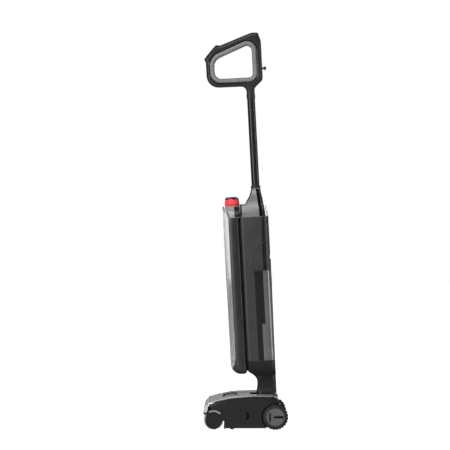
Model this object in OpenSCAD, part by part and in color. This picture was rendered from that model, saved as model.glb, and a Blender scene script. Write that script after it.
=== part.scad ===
// Cordless upright wet dry floor scrubber: a roller floor head on two rear wheels, a pitch and
// swivel neck, and an upright that carries the clean and dirty water tanks, battery and handle.
// Row frame: X across the machine, -Y forward, +Z up, origin on the floor under the head's centre.
// Parts of the upright are drawn in its own frame: v runs rearward and w runs up the pole, both
// measured from the neck's pitch axis, and the frame leans forward by lean_angle.

/* [Upright] */
// Forward lean of the parked upright, in degrees
lean_angle = 3; // [2:0.5:4]
// Width of the upright's body
body_w = 112; // [108:1:116]
// Depth of the pole, front to back
pole_d = 22; // [20:0.5:23]
// Width of the pole
pole_w = 28; // [26:1:32]
// Thickness of the handle, side to side
handle_w = 30; // [26:1:34]
// Wall of the moulded housings
wall = 3; // [2.5:0.1:3.2]

/* [Floor head] */
// Width over the two side covers
head_w = 248; // [244:1:252]
// Radius of the roller brush over its nap
roller_r = 26.5; // [26:0.25:27]
// Radius of the rear wheels over their tread
wheel_r = 36; // [35:0.5:36.5]
// Number of tread lugs on each rear wheel
lug_count = 24; // [20:2:32]
// Ground clearance under the head's pan
ground_gap = 5.5; // [5:0.5:6]

/* [Hidden] */
$fn = 48;
EPS = 0.01;
RUN = 0.05;          // radial clearance of a running fit
GAP = 0.3;           // clearance between neighbouring parts

// Places of the head's axes, as [y, z]
ROLLER = [-89, roller_r];
WHEEL = [81, wheel_r];
PIVOT = [59.4, 80];
MOTOR = [-18, 32];
CASTER = [-38, 7.5];

HEAD_X = head_w / 2;         // outer face of a side cover
SIDE_T = 6;                  // side cover thickness
INNER_X = HEAD_X - SIDE_T;   // inner face of a side cover
BODY_X = body_w / 2;
PULLEY_R = 13;
PINION_R = 5.2;
BELT_T = 1.6;
BELT_X = [-INNER_X + 0.5, -INNER_X + 6.5];   // bay of the roller drive

// Heights up the pole axis at which the upright's parts meet
SKIRT_W = 14;        // bottom of the neck
NECK_W = 50;         // top of the swivel bearing
BASE_W = 107;        // lower housing to main shell
STEP_W = 209;        // step in the clean tank
TANK_TOP_W = 357;    // clean tank to battery
COLLAR_W = 507;      // main shell to shoulder
POLE_W = 587;        // shoulder to pole
HANDLE_W = 851;      // pole to handle

// ---- Outline helpers. A corner is [a, b, radius], and outlines run counter-clockwise. ----

function flat(p) = [p[0], p[1]];
function unit(p) = p / norm(p);
function turn(a) = a > 180 ? a - 360 : a < -180 ? a + 360 : a;

// The arc that rounds corner p, between its neighbours a and b
function corner(a, p, b, r, n) =
    r == 0 ? [p] :
    let (u = unit(a - p), v = unit(b - p), half = acos(u * v) / 2,
         c = p + unit(u + v) * r / sin(half), reach = r / tan(half),
         s = p + u * reach - c, e = p + v * reach - c,
         a0 = atan2(s[1], s[0]), sweep = turn(atan2(e[1], e[0]) - a0))
    [for (i = [0:n]) c + r * [cos(a0 + sweep * i / n), sin(a0 + sweep * i / n)]];

function rounded(pts, n = 8) =
    let (k = len(pts))
    [for (i = [0:k - 1])
        each corner(flat(pts[(i + k - 1) % k]), flat(pts[i]), flat(pts[(i + 1) % k]),
                    len(pts[i]) > 2 ? pts[i][2] : 0, n)];

// The same outline grown by d, or shrunk where d is negative
function grown(pts, d) =
    let (k = len(pts))
    [for (i = [0:k - 1])
        let (p = flat(pts[i]), a = unit(p - flat(pts[(i + k - 1) % k])),
             b = unit(flat(pts[(i + 1) % k]) - p),
             na = [a[1], -a[0]], nb = [b[1], -b[0]], r = len(pts[i]) > 2 ? pts[i][2] : 0,
             convex = a[0] * b[1] - a[1] * b[0] > 0,
             q = p + (na + nb) * d / (1 + na * nb))
        [q[0], q[1], r == 0 ? 0 : max(0.5, convex ? r + d : r - d)]];

// A strip of thickness t under an open line of points that runs from front to back
function strip(line, t) =
    let (k = len(line),
         dirs = [for (i = [0:k - 1]) unit(line[min(i + 1, k - 1)] - line[max(i - 1, 0)])])
    concat([for (i = [0:k - 1]) line[i] + t * [dirs[i][1], -dirs[i][0]]],
           [for (i = [k - 1:-1:0]) line[i]]);

function arc(c, r, from, to, n = 12) =
    [for (i = [0:n]) c + r * [cos(from + (to - from) * i / n), sin(from + (to - from) * i / n)]];

// An outline in the side plane, [y, z] or [v, w], as a plate from x0 to x1
module plate(pts, x0, x1) {
    translate([x0, 0, 0]) rotate([90, 0, 90]) linear_extrude(x1 - x0) polygon(pts);
}

// An outline in the front plane, [x, z] or [x, w], as a block from y0 to y1
module block(pts, y0, y1) {
    translate([0, y1, 0]) rotate([90, 0, 0]) linear_extrude(y1 - y0) polygon(pts);
}

module slab(x, y, z) {
    translate([x[0], y[0], z[0]]) cube([x[1] - x[0], y[1] - y[0], z[1] - z[0]]);
}

// A cylinder along X at [y, z]
module rod(at, r, x, fn = 48) {
    translate([x[0], at[0], at[1]]) rotate([0, 90, 0]) cylinder(r = r, h = x[1] - x[0], $fn = fn);
}

module post(x, v, r, w, fn = 48) {
    translate([x, v, w[0]]) cylinder(r = r, h = w[1] - w[0], $fn = fn);
}

module stadium(d, w) {
    r = d / 2;
    for (s = [-1, 1]) translate([s * (w / 2 - r), 0]) circle(r);
    square([w - d, d], center = true);
}

module upright() {
    translate([0, PIVOT[0], PIVOT[1]]) rotate([lean_angle, 0, 0]) children();
}

// ---- Outlines shared by several parts ----

// The head's top line, front to back, as [y, z]
VISOR_LINE = [[-116.4, 48.6], [-115.5, 56], [-113, 62], [-109, 66.5], [-105.4, 70.2],
              [-103.6, 74.8], [-93, 77.6], [-70, 84], [-40, 90], [-20, 91.5]];
REAR_LINE = [[-19.5, 91.6], [20, 92.5], [70, 92.5], [79, 90.5], [87, 84.5], [93, 76], [97.5, 64],
             [98.5, 50]];

// A side cover, cut away for the wheel and for the round end of the roller
COVER_LINE = concat(
    [[-58, ground_gap], [55, ground_gap]],
    arc(WHEEL, wheel_r + 2, 230, 76, 20),
    [[95.5, 76], [88, 86], [76, 91.5], [20, 92.3], [-35, 88], [-70, 79.5], [-93, 73.3],
     [-103.2, 70], [-98, 63.5]],
    arc(ROLLER, roller_r + 3, 107, 12, 14));
TAB_LINE = [[-82, 25.5, 5], [2, 25.5, 5], [6, 39, 14], [2, 53, 5], [-74, 50, 8]];

// The upright's main body in plan, as [x, v]
PLAN = [[-BODY_X, -47.3, 7], [BODY_X, -47.3, 7], [BODY_X, 31.4, 25], [-BODY_X, 31.4, 25]];

// Handle: its outer edge and its loop, as [v, w]
HANDLE_LINE = [[11, HANDLE_W], [11.5, 867, 14], [36, 889, 16], [36, 998, 24], [28.5, 1021.6, 5],
               [10, 1022.5, 20], [-79, 990.7, 7], [-90, 992.6, 3], [-125.2, 954.5, 1.5],
               [-121, 945, 3], [-121, 873.5, 34], [-11.5, 872.8, 15], [-11, HANDLE_W]];
LOOP_LINE = [[8.8, 897.6, 12], [8.6, 992, 13], [-97.4, 949.9, 27], [-97.4, 897.6, 19]];
GRIP_T = 15;         // width of the grip ring round the loop

// The control panel's lower front and upper rear ends, and its directions
PANEL = [[-121.6, 958.4], [-92.6, 989.8]];
PANEL_DIR = unit(PANEL[1] - PANEL[0]);
PANEL_OUT = [-PANEL_DIR[1], PANEL_DIR[0]];
PANEL_T = 3.2;       // depth of the panel's pocket

// ---- Floor head ----

POSTS = [for (s = [-1, 1], y = [5, 33]) [s * 75, y]];        // screw posts of the top cover

module head_chassis() color("#26272a") {
    wall_x = INNER_X - 8.5;      // the two inner walls, the left one beside the belt
    rear_x = 92;                 // half width between the wheels
    pan = [ground_gap, ground_gap + wall];
    difference() {
        union() {
            slab([-wall_x - 2, INNER_X - GAP], [-56, 42], pan);
            slab([-rear_x, rear_x], [41, 98], pan + [6, 6]);
            // Back of the roller bay
            slab([-wall_x - 2, wall_x], [-57, -54], [ground_gap, 73]);
            plate(concat(arc(ROLLER, 17, 90, 270), [[-52, ground_gap], [42, ground_gap], [42, 86],
                         [-50, 84]]), -wall_x - 2, -wall_x);
            slab([wall_x - 2, wall_x], [-56, 42], [ground_gap, 84]);
            for (s = [-1, 1]) {
                // Wheel boxes, axle bosses and caster blocks
                slab(s > 0 ? [rear_x - 3, rear_x] : [-rear_x, 3 - rear_x], [41, 94],
                     [ground_gap + 6, 62]);
                rod(WHEEL, 10, s > 0 ? [80, 100] : [-100, -80]);
                slab(s > 0 ? [rear_x - 3, rear_x] : [-rear_x, 3 - rear_x], [41, 64],
                     [ground_gap, 20]);
                slab([s * 95 - 11, s * 95 + 11], [CASTER[0] - 9, CASTER[0] + 9],
                     [ground_gap, 16]);
                // Ears of the pitch axis
                plate(concat([[44, ground_gap + 8], [75, ground_gap + 8]],
                             arc(PIVOT, 11, 0, 180)), s > 0 ? 31 : -38, s > 0 ? 38 : -31);
            }
            slab([-rear_x, rear_x], [39, 42], [ground_gap, 60]);
            // Cradle of the brush motor
            slab([-84, -70], [-27, -9], [ground_gap + 1, 26]);
            // Duct from the roller bay to the neck
            slab([-30.5, 30.5], [-54.5, 34], [11, 43]);
            slab([-14, 14], [30, 44], [11, 86]);
        }
        slab([-28, 28], [-58, 31], [14, 40]);
        slab([-11, 11], [30.9, 41], [14, 83]);
        slab([-11, 11], [40, 50], [70, 83]);
        rod(PIVOT, 17.6, [-15, 15]);
        rod(ROLLER, 5 + RUN, [-wall_x - 3, -wall_x + 1]);
        rod(MOTOR, 7, [-wall_x - 3, -wall_x + 1]);
        rod(MOTOR, 14, [-85, -69]);
        rod(PIVOT, 5, [-39, 39]);
        for (s = [-1, 1]) {
            rod(WHEEL, 4, s > 0 ? [78, 101] : [-101, -78]);
            slab([s * 95 - 7, s * 95 + 7], [CASTER[0] - 7.9, CASTER[0] + 7.9], [0, 15.4]);
            rod(CASTER, 1.5, [s * 95 - 12, s * 95 + 12], 24);
        }
        for (p = POSTS) {
            post(p[0], p[1], 1.7, [0, 12], 24);
            post(p[0], p[1], 3.4, [0, ground_gap + 1.8], 24);
        }
    }
}

WELL_X = 41;         // half width of the opening that the neck tips back into

module head_top_cover() color("#c4c7ca") {
    difference() {
        plate(strip(REAR_LINE, wall), -INNER_X + GAP, INNER_X - GAP);
        slab([-WELL_X, WELL_X], [13, 110], [30, 110]);
        for (s = [-1, 1]) rod(WHEEL, wheel_r + 2, s > 0 ? [98, 130] : [-130, -98]);
    }
    // Walls round the well
    for (s = [-1, 1])
        plate([[13, 66], [90, 62], [90, 73], [85, 80.5], [78, 86.5], [70, 89.6], [13, 89.6]],
              s > 0 ? WELL_X : -WELL_X - 2.5, s > 0 ? WELL_X + 2.5 : -WELL_X);
    slab([-WELL_X - 2.5, WELL_X + 2.5], [10.5, 13], [66, 89.6]);
    for (p = POSTS) difference() {
        post(p[0], p[1], 4.5, [ground_gap + wall, 89.6]);
        post(p[0], p[1], 1.6, [0, 24], 24);
    }
}

module head_screws() color("#a9abae") for (p = POSTS) {
    post(p[0], p[1], 3.2, [ground_gap + 0.2, ground_gap + 1.8], 24);
    post(p[0], p[1], 1.6, [ground_gap + 1.7, 23], 24);
}

// Cuts that lean a side cover's shoulder inward above a line through a point of its face
module facet(at, slope, tilt) {
    translate([HEAD_X, at[0], at[1]]) rotate([slope, 0, 0]) rotate([0, -tilt, 0])
        translate([0, -80, -30]) cube([30, 160, 90]);
}

module side_cover() difference() {
    plate(COVER_LINE, INNER_X, HEAD_X);
    facet([-35, 87.3], 22.7, 22);
    facet([50, 93], -38, 20);
}

module right_side_cover() color("#2b2c2f") difference() {
    side_cover();
    // Seat of the roller cap's tab, and the finger notch behind it
    plate(rounded(grown(TAB_LINE, 0.4)), INNER_X + 1.5, HEAD_X + 1);
    plate(rounded([[0, 29, 4], [10, 31, 6], [10, 47, 6], [0, 49, 4]]), HEAD_X - 2.6, HEAD_X + 1);
}

module left_side_cover() color("#2b2c2f") mirror([1, 0, 0]) difference() {
    union() {
        side_cover();
        // Round cover over the roller's drive
        rod(ROLLER, 22, [INNER_X, HEAD_X]);
        plate([[-74, 16], [-58, 16], [-50, 45], [-74, 45]], INNER_X, HEAD_X - 1);
    }
    rod(ROLLER, 18.5, [HEAD_X - 1.2, HEAD_X + 1]);
    plate(rounded([[0, 29, 4], [10, 31, 6], [10, 47, 6], [0, 49, 4]]), HEAD_X - 2.6, HEAD_X + 1);
}

module oval(r, reach, z) {
    translate([0, -43, z[0]]) linear_extrude(z[1] - z[0]) {
        for (s = [-1, 1]) translate([s * (reach - r), 0]) circle(r);
        square([2 * (reach - r), 2 * r], center = true);
    }
}

module under_top(t) {
    plate(strip(VISOR_LINE, t), -INNER_X, INNER_X);
}

module roller_visor() color("#c9ccd0") difference() {
    union() {
        plate(strip(VISOR_LINE, 2.5), -INNER_X + GAP, INNER_X - GAP);
        // Cheeks in front of the side covers
        for (s = [-1, 1])
            plate([[-116.4, 48.6], [-115.5, 56], [-113, 62], [-109, 66.5], [-105.4, 70.2],
                   [-104.6, 60], [-106, 53], [-109, 49]],
                  s > 0 ? INNER_X - 3 : 0.5 - HEAD_X, s > 0 ? HEAD_X - 0.5 : 3 - INNER_X);
    }
    oval(20, 62, [60, 110]);
}

// Bowl of the finger grip in the visor
module visor_grip() color("#141516") difference() {
    intersection() {
        oval(20, 62, [60, 110]);
        under_top(11);
    }
    difference() {
        oval(17.5, 59.5, [60, 110]);
        difference() {
            under_top(12);
            under_top(9);
        }
    }
}

module visor_latch() color("#8b8e92") intersection() {
    oval(16.8, 58.8, [60, 110]);
    difference() {
        under_top(6.5);
        under_top(3);
    }
}

module front_bumper() color("#111213")
    plate([[-117.3, 47.8], [-117.3, 45], [-115, 42.5], [-111.5, 45.5], [-113.5, 48]],
          0.5 - HEAD_X, HEAD_X - 0.5);

module roller_end_cap() color("#2e2f32") {
    face = HEAD_X - 0.5;
    difference() {
        union() {
            rod(ROLLER, 22, [108, face]);
            plate(rounded(TAB_LINE), INNER_X + 2, face);
            // Lip over the end of the roller
            plate(concat(arc(ROLLER, 28.8, 35, 140, 16), arc(ROLLER, 20, 140, 35, 16)), 117, face);
        }
        rod(ROLLER, 18.5, [face - 1.2, face + 1]);
    }
    rod(ROLLER, 5, [92, 109]);
}

module roller_core() color("#3a3b3e") difference() {
    rod(ROLLER, 20, [-104, 104]);
    rod(ROLLER, 17, [-91, 90]);
    rod(ROLLER, 5 + RUN, [89, 105]);
    rod(ROLLER, 7.6, [-105, -90], 6);
}

module roller_sleeve() color("#b9bbbd") difference() {
    rod(ROLLER, roller_r, [-104, 104], 96);
    rod(ROLLER, 20, [-105, 105]);
}

PULLEY_X = [BELT_X[0] + 0.3, BELT_X[1] - 0.3];

module drive_hub() color("#4a4b4e") {
    rod(ROLLER, PULLEY_R, PULLEY_X);
    rod(ROLLER, 5, [PULLEY_X[1] - 1, -103]);
    rod(ROLLER, 7, [-103.4, -94], 6);
}

module belt_outline(grow) {
    d = norm(MOTOR - ROLLER);
    tilt = atan2(MOTOR[1] - ROLLER[1], MOTOR[0] - ROLLER[0]);
    lift = acos((PULLEY_R - PINION_R) / d);
    polygon(concat(arc(ROLLER, PULLEY_R + grow, tilt + lift, tilt + 360 - lift, 24),
                   arc(MOTOR, PINION_R + grow, tilt - lift, tilt + lift, 12)));
}

module drive_belt() color("#111111")
    translate([PULLEY_X[0] + 0.3, 0, 0]) rotate([90, 0, 90]) linear_extrude(4.8) difference() {
        belt_outline(0.35 + BELT_T);
        belt_outline(0.35);
    }

module brush_motor() color("#8f9296") difference() {
    union() {
        rod(MOTOR, 14, [-107, -46]);
        rod(MOTOR, 6.5, [-109.5, -106]);
        rod(MOTOR, 6, [-46.5, -42]);
    }
    rod(MOTOR, 2 + RUN, [-110, -103], 24);
}

module motor_pinion() color("#c8b46a") {
    rod(MOTOR, PINION_R, PULLEY_X);
    rod(MOTOR, 2, [PULLEY_X[1] - 1, -104], 24);
}

module squeegee_blade() color("#0e0e0f")
    plate([[-60, 1.4], [-58.4, 0.6], [-57, ground_gap + 1], [-57, ground_gap + 9],
           [-60, ground_gap + 9]], -103, 103);

module scraper_bar() color("#3b3c40") {
    teeth = 26;
    plate([[-76.5, 60], [-72, 60], [-57, 70], [-57, 73], [-72, 68], [-76.5, 64]], -106, 106);
    for (i = [0:teeth - 1])
        plate([[-78.2, 54.6], [-75.6, 53.8], [-74, 60.5], [-76.5, 60.5]],
              -104 + i * 8.1, -100 + i * 8.1);
}

module spray_bar() color("#55575b") {
    nozzles = 9;
    rod([-69, 76], 3.5, [-100, 100], 24);
    for (i = [0:nozzles - 1])
        translate([-88 + i * 22, -70.5, 75]) rotate([120, 0, 0]) cylinder(r1 = 2.4, r2 = 1.4, h = 5.5);
}

// ---- Wheels ----

function spoke(c, r, a) = c + r * [cos(a), sin(a)];

// Tread blocks with grooves between them, standing on the middle of a block
function tread(r, root, n) =
    [for (i = [0:n - 1]) let (a = 360 * i / n - 90, p = 360 / n)
        each [spoke(WHEEL, r, a - p * 0.3), spoke(WHEEL, r, a), spoke(WHEEL, r, a + p * 0.3),
              spoke(WHEEL, root, a + p * 0.38), spoke(WHEEL, root, a + p * 0.62)]];

TYRE_X = [103, 126];
RIM_R = 27;

module tyre() color("#0f0f10") difference() {
    plate(tread(wheel_r, wheel_r - 2.2, lug_count), TYRE_X[0], TYRE_X[1]);
    rod(WHEEL, RIM_R, [TYRE_X[0] - 1, TYRE_X[1] + 1], 72);
}

// Hub with a recessed inner side, and a face with one upright and one level moulded slot
module wheel_hub() color("#5c5e62") {
    difference() {
        rod(WHEEL, RIM_R, [TYRE_X[0], 128], 72);
        rod(WHEEL, RIM_R - 3, [TYRE_X[0] - 1, 114], 72);
        rod(WHEEL, 7, [121.7, 125.2]);
        rod(WHEEL, 4 + RUN, [110, 125.1]);
        slab([126.8, 129], [WHEEL[0] - 17, WHEEL[0] - 12.5], [WHEEL[1] - 12, WHEEL[1] + 12]);
        slab([126.8, 129], [WHEEL[0] - 4, WHEEL[0] + 22], [WHEEL[1] - 3.2, WHEEL[1] + 3.2]);
    }
    difference() {
        rod(WHEEL, 9, [TYRE_X[0], 115]);
        rod(WHEEL, 4 + RUN, [TYRE_X[0] - 1, 116]);
    }
}

module right_tyre() tyre();
module right_wheel_hub() wheel_hub();
module left_tyre() mirror([1, 0, 0]) tyre();
module left_wheel_hub() mirror([1, 0, 0]) wheel_hub();

module head_pins() color("#b5b7ba") for (s = [-1, 1]) {
    rod(PIVOT, 5, s > 0 ? [14, 38] : [-38, -14]);
    rod(WHEEL, 4, s > 0 ? [79, 124] : [-124, -79]);
    rod(WHEEL, 6, s > 0 ? [122, 123.3] : [-123.3, -122]);
    rod(CASTER, 1.5, [s * 95 - 10.5, s * 95 + 10.5], 24);
}

module caster(x) color("#1a1a1b") difference() {
    rod(CASTER, 7.4, [x - 6, x + 6]);
    rod(CASTER, 1.5 + RUN, [x - 7, x + 7], 24);
}

module right_caster() caster(95);
module left_caster() caster(-95);

// ---- Neck ----

module neck_yoke() color("#303134") upright() difference() {
    union() {
        rod([0, 0], 13.4, [-30, 30]);
        intersection() {
            rod([0, 0], 17, [-13, 13]);
            slab([-14, 14], [-20, 20], [-20, 9]);
        }
        post(0, 0, 16, [0, NECK_W + 3]);
        post(0, 0, 27, [10.5, SKIRT_W - GAP]);
    }
    post(0, 0, 12, [-6, NECK_W + 4]);
    // Slot that stays open to the head's duct while the neck tips back
    plate(concat([[0, 0]], arc([0, 0], 19, 172, 252)), -11, 11);
    rod([0, 0], 5 + RUN, [-31, 31]);
}

module swivel_ring() color("#b5b7ba") upright() difference() {
    post(0, 0, 19.4, [NECK_W + GAP, NECK_W + 3]);
    post(0, 0, 16, [NECK_W - 1, NECK_W + 4]);
}

// Side outline of the neck and of the base above it, as [v, w]
NECK_LINE = [[28.5, SKIRT_W], [28.6, BASE_W], [-47.3, BASE_W], [-47.3, 77], [-37.3, 70.8],
             [-30.7, 64.2], [-25.6, 56], [-23.6, 47], [-23.9, 38], [-25.4, 28], [-27.4, 20],
             [-28, SKIRT_W]];
// Half of its front outline, as [x, w]
NECK_FRONT = [[34, SKIRT_W], [33.2, 20], [30, 30], [28.5, 40], [29.5, 50], [33, 60], [40, 70],
              [48, 80], [53.5, 92], [BODY_X, BASE_W]];
SPIGOT = [[8, 84], [8, 100], [-8, 100], [-8, 84]];       // spigot that feeds the dirty tank

function both_sides(half) =
    concat(half, [for (i = [len(half) - 1:-1:0]) [-half[i][0], half[i][1]]]);

module lower_housing() color("#1d1e20") upright() difference() {
    union() {
        intersection() {
            plate(NECK_LINE, -BODY_X, BODY_X);
            block(both_sides(NECK_FRONT), -50, 30);
            union() {
                translate([0, 0, 64]) linear_extrude(60) polygon(rounded(PLAN));
                post(0, 0, 36, [SKIRT_W - 1, 90]);
            }
        }
        block(SPIGOT, -53, -47);
    }
    block(rounded(grown(SPIGOT, -2)), -54, -10);
    post(0, 0, 16 + RUN, [SKIRT_W - 1, NECK_W + 1]);
    post(0, 0, 20, [NECK_W, BASE_W - 3]);
    // Charging socket in the back
    translate([0, 29.5, 36]) rotate([90, 0, 0]) cylinder(r = 2.75, h = 9.5, $fn = 32);
}

// ---- Main body ----

// Side outline of the main shell, as [v, w]
MAIN_LINE = [[-47.3, BASE_W + EPS], [-2.6, BASE_W + EPS], [-2.6, STEP_W + 1], [6.4, STEP_W + 1],
             [6.4, TANK_TOP_W - 0.6], [-18.4, TANK_TOP_W - 0.6], [-18.4, 409], [-5.4, 420],
             [3.4, 430.6], [12.5, 434.8], [30.6, 435.2], [30.6, COLLAR_W], [-47.3, COLLAR_W]];
BOSSES = [[-39.5, 116], [-39.5, 225], [-39.5, 375], [-39.5, 488], [20, 488]];

module in_plan(grow, w) {
    translate([0, 0, w[0]]) linear_extrude(w[1] - w[0]) polygon(rounded(grown(PLAN, grow)));
}

module main_shell(s) {
    x = s > 0 ? [0, BODY_X] : [-BODY_X, 0];
    difference() {
        intersection() {
            plate(MAIN_LINE, x[0], x[1]);
            in_plan(0, [100, 520]);
        }
        intersection() {
            plate(rounded(grown(MAIN_LINE, -wall)), -BODY_X, BODY_X);
            in_plan(-wall, [100, 520]);
        }
        // Vent slots of the suction motor, in the back
        for (i = [0:4]) slab([-26, 26], [20, 32], [446 + i * 7, 449 + i * 7]);
    }
    // Rib that the dirty tank's back lies against
    slab(s > 0 ? [33, 39] : [-39, -33], [-50.1, -46], [112, 502]);
    for (b = BOSSES) difference() {
        rod(b, 4.5, s > 0 ? [0, BODY_X - wall] : [wall - BODY_X, 0], 24);
        rod(b, s > 0 ? 1.5 : 3.3, s > 0 ? [-1, 12] : [-BODY_X, -10], 24);
        rod(b, 1.5, [-11, 12], 24);
    }
}

module main_shell_right() color("#3a3b3e") upright() main_shell(1);
module main_shell_left() color("#3a3b3e") upright() main_shell(-1);

module housing_screws() color("#a9abae") upright() for (b = BOSSES) {
    rod(b, 3, [-12.5, -10], 24);
    rod(b, 1.5, [-10.5, 11.9], 24);
}

// Side outlines of the shoulder and of the trim behind it, as [v, w]
SHOULDER_LINE = [[22.4, COLLAR_W + EPS], [19.9, 536], [15.5, 564], [12.8, POLE_W],
                 [-12.8, POLE_W], [-13.6, 582.6], [-18.7, 566], [-26, 555.2], [-29, 549.5],
                 [-32.5, 543.8], [-46.6, 543.4], [-47.3, COLLAR_W + EPS]];
FAIRING_LINE = [[30.6, COLLAR_W + EPS], [28.7, 519], [25.7, 536], [21, 564], [15.2, 584],
                [13.4, 584], [15.8, 564], [20.2, 536], [22.7, COLLAR_W + EPS]];
// Half of the shoulder's front outline, as [x, w]
SHOULDER_FRONT = [[BODY_X, COLLAR_W], [54.5, 520], [49, 536], [40, 550], [30, 562], [22, 573],
                  [18, 582], [17, POLE_W]];

module shoulder_cover() color("#85878b") upright() difference() {
    union() {
        difference() {
            intersection() {
                plate(SHOULDER_LINE, -BODY_X, BODY_X);
                block(both_sides(SHOULDER_FRONT), -50, 40);
                in_plan(0, [500, 600]);
            }
            intersection() {
                plate([[19, 506], [16.6, 536], [13.5, 555], [-14, 555], [-26, 540], [-43.5, 540],
                       [-44.2, 506]], -BODY_X, BODY_X);
                block(both_sides([[52.5, 506], [51, 519], [46, 533], [37, 546], [28, 555]]),
                      -50, 40);
                in_plan(-3, [500, 600]);
            }
        }
        translate([0, 0, COLLAR_W + 8]) linear_extrude(60) stadium(pole_d + 5, pole_w + 5);
        slab([-18, 18], [-46, -9], [COLLAR_W + 8, 536]);
    }
    translate([0, 0, COLLAR_W + 12]) linear_extrude(100) stadium(pole_d, pole_w);
    // Air way from the tank's lid down to the suction motor
    slab([-14, 14], [-50, -20], [518, 533]);
    slab([-14, 14], [-30, -18], [500, 533]);
}

module rear_fairing() color("#d5d7d9", 0.7) upright() intersection() {
    plate(FAIRING_LINE, -BODY_X, BODY_X);
    block(both_sides(SHOULDER_FRONT), 0, 40);
    in_plan(0, [500, 600]);
}

FAN = [0, -12];      // axis of the suction motor, as [x, v]

module suction_motor() color("#9a9ca0") upright() {
    post(FAN[0], FAN[1], 22, [440.5, 478]);
    post(FAN[0], FAN[1], 24, [476, 480]);
    // Tray that carries the motor between the shells
    slab([-50, 50], [-44, 14], [438.2, 440.6]);
}

module impeller() color("#d7d8da") upright() {
    post(FAN[0], FAN[1], 20, [481, 482.5]);
    post(FAN[0], FAN[1], 6, [482, 492]);
    for (i = [0:8]) translate([FAN[0], FAN[1], 482]) rotate([0, 0, i * 40])
        translate([5, -0.6, 0]) cube([13.5, 1.2, 8]);
}

module control_board() color("#2f6b3d") upright() {
    slab([-22, 22], [-43, -41.4], [240, 340]);
    for (i = [0:3]) slab([-16, 2], [-41.5, -38], [250 + i * 22, 264 + i * 22]);
    translate([13, -41.5, 310]) rotate([-90, 0, 0]) cylinder(r = 5, h = 12, $fn = 24);
}

module water_pump() color("#5a5c60") upright() {
    post(-24, -20, 12, [128, 176]);
    slab([-37, -11], [-33, -8], [BASE_W + wall + EPS, 129]);
}

// ---- Battery ----

// Side outline of the battery, as [v, w]
BATTERY_LINE = [[-17.8, TANK_TOP_W + 0.2], [30.8, TANK_TOP_W + 0.2], [31.3, 386], [28.4, 392],
                [30.4, 405], [30.6, 434.7], [12.7, 434.2], [3.8, 430], [-5, 419.5],
                [-17.8, 408.6]];
CELLS = [[-5.4, 370.2], [13.4, 370.2], [-5.4, 389.2], [13.4, 389.2], [13.4, 408.2]];

module battery_case() color("#343538") upright() difference() {
    intersection() {
        plate(BATTERY_LINE, -BODY_X, BODY_X);
        in_plan(0, [350, 440]);
    }
    slab([-36, 36], [-14.8, 23], [TANK_TOP_W + 3, 400]);
    slab([-36, 36], [3, 23], [399, 420]);
    slab([-20.4, 20.4], [24.2, 34], [361.6, 386.4]);
}

module battery_cells() color("#3f6fa5") upright()
    for (c = CELLS) rod(c, 9, [-32.5, 32.5]);

module battery_latch() color("#202123") upright() {
    slab([-20, 20], [25.9, 29.4], [362, 386]);
    for (i = [0:4]) slab([-17, 17], [29.3, 30.6], [364 + i * 4.4, 366 + i * 4.4]);
}

// ---- Dirty water tank ----

// The tank in plan, as [x, v], and the curve of its foot, as [v, w]
TANK_PLAN = [[-BODY_X, -95.6, 30], [BODY_X, -95.6, 30], [BODY_X, -50.4, 14],
             [-BODY_X, -50.4, 14]];
FOOT = [-96, 72, 28];
// The part of the tank that its clear window makes up, as [v, w]
WINDOW_LINE = [[-97, 84], [-87.6, 96], [-82.4, 110], [-80.6, 124], [-80.6, 510], [-83.2, 520],
               [-86.4, 526], [-90.4, 538], [-97, 541]];
INLET = [[10, 82], [10, 102], [-10, 102], [-10, 82]];

module tank_form(shrink, top) {
    intersection() {
        plate(rounded(grown([FOOT, [-50.4, 72, 8], [-50.4, top], [-96, top]], -shrink)),
              -BODY_X, BODY_X);
        translate([0, 0, 60]) linear_extrude(520) polygon(rounded(grown(TANK_PLAN, -shrink)));
    }
}

module dirty_tank_body() color("#37383b") upright() difference() {
    tank_form(0, COLLAR_W);
    tank_form(2.4, COLLAR_W + 20);
    plate(WINDOW_LINE, -BODY_X - 1, BODY_X + 1);
    block(INLET, -54, -49);
}

module dirty_tank_window() color("#aeb2b6", 0.4) upright() intersection() {
    difference() {
        tank_form(0, 545);
        tank_form(2.4, 560);
    }
    plate(WINDOW_LINE, -BODY_X - 1, BODY_X + 1);
    union() {
        slab([-60, 60], [-100, -70], [60, 508]);
        block(both_sides([[53.6, 507], [52.7, 516], [47.2, 526], [39.2, 534], [34, 540],
                          [33, 545]]), -100, -70);
    }
}

// Inlet and riser that carry dirty water to the top of the tank
module dirty_tank_riser() color("#2b2c2e") upright() difference() {
    union() {
        post(0, -66, 10, [79, 470]);
        block(INLET, -66, -50.4);
    }
    post(0, -66, 8, [81, 462]);
    block(rounded(grown(INLET, -1.6)), -66, -49);
    for (s = [-1, 1]) slab(s > 0 ? [4, 12] : [-12, -4], [-72, -60], [444, 460]);
}

// The lid and its cap in plan, as [x, v]
LID_PLAN = [[-55, -90, 26], [55, -90, 26], [55, -47, 13], [-55, -47, 13]];
CAP_PLAN = [[-35, -89.2, 19], [35, -89.2, 19], [35, -47.2, 18], [-35, -47.2, 18]];
BUTTON_PLAN = [[-24, -84.4, 11], [24, -84.4, 11], [24, -53.6, 8], [-24, -53.6, 8]];

module column(pts, w) {
    translate([0, 0, w[0]]) linear_extrude(w[1] - w[0]) polygon(rounded(pts));
}

// Side outline of the lid and half of its front outline
LID_LINE = [[-48, COLLAR_W + GAP], [-47.3, 539.5], [-89, 539.5], [-89.3, 536], [-85.4, 526],
            [-82.2, 519.6], [-79.6, 510], [-79.6, COLLAR_W + GAP]];
LID_FRONT = [[53.4, COLLAR_W], [52.5, 516], [47, 526], [39, 534], [35, 539.5]];

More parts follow.
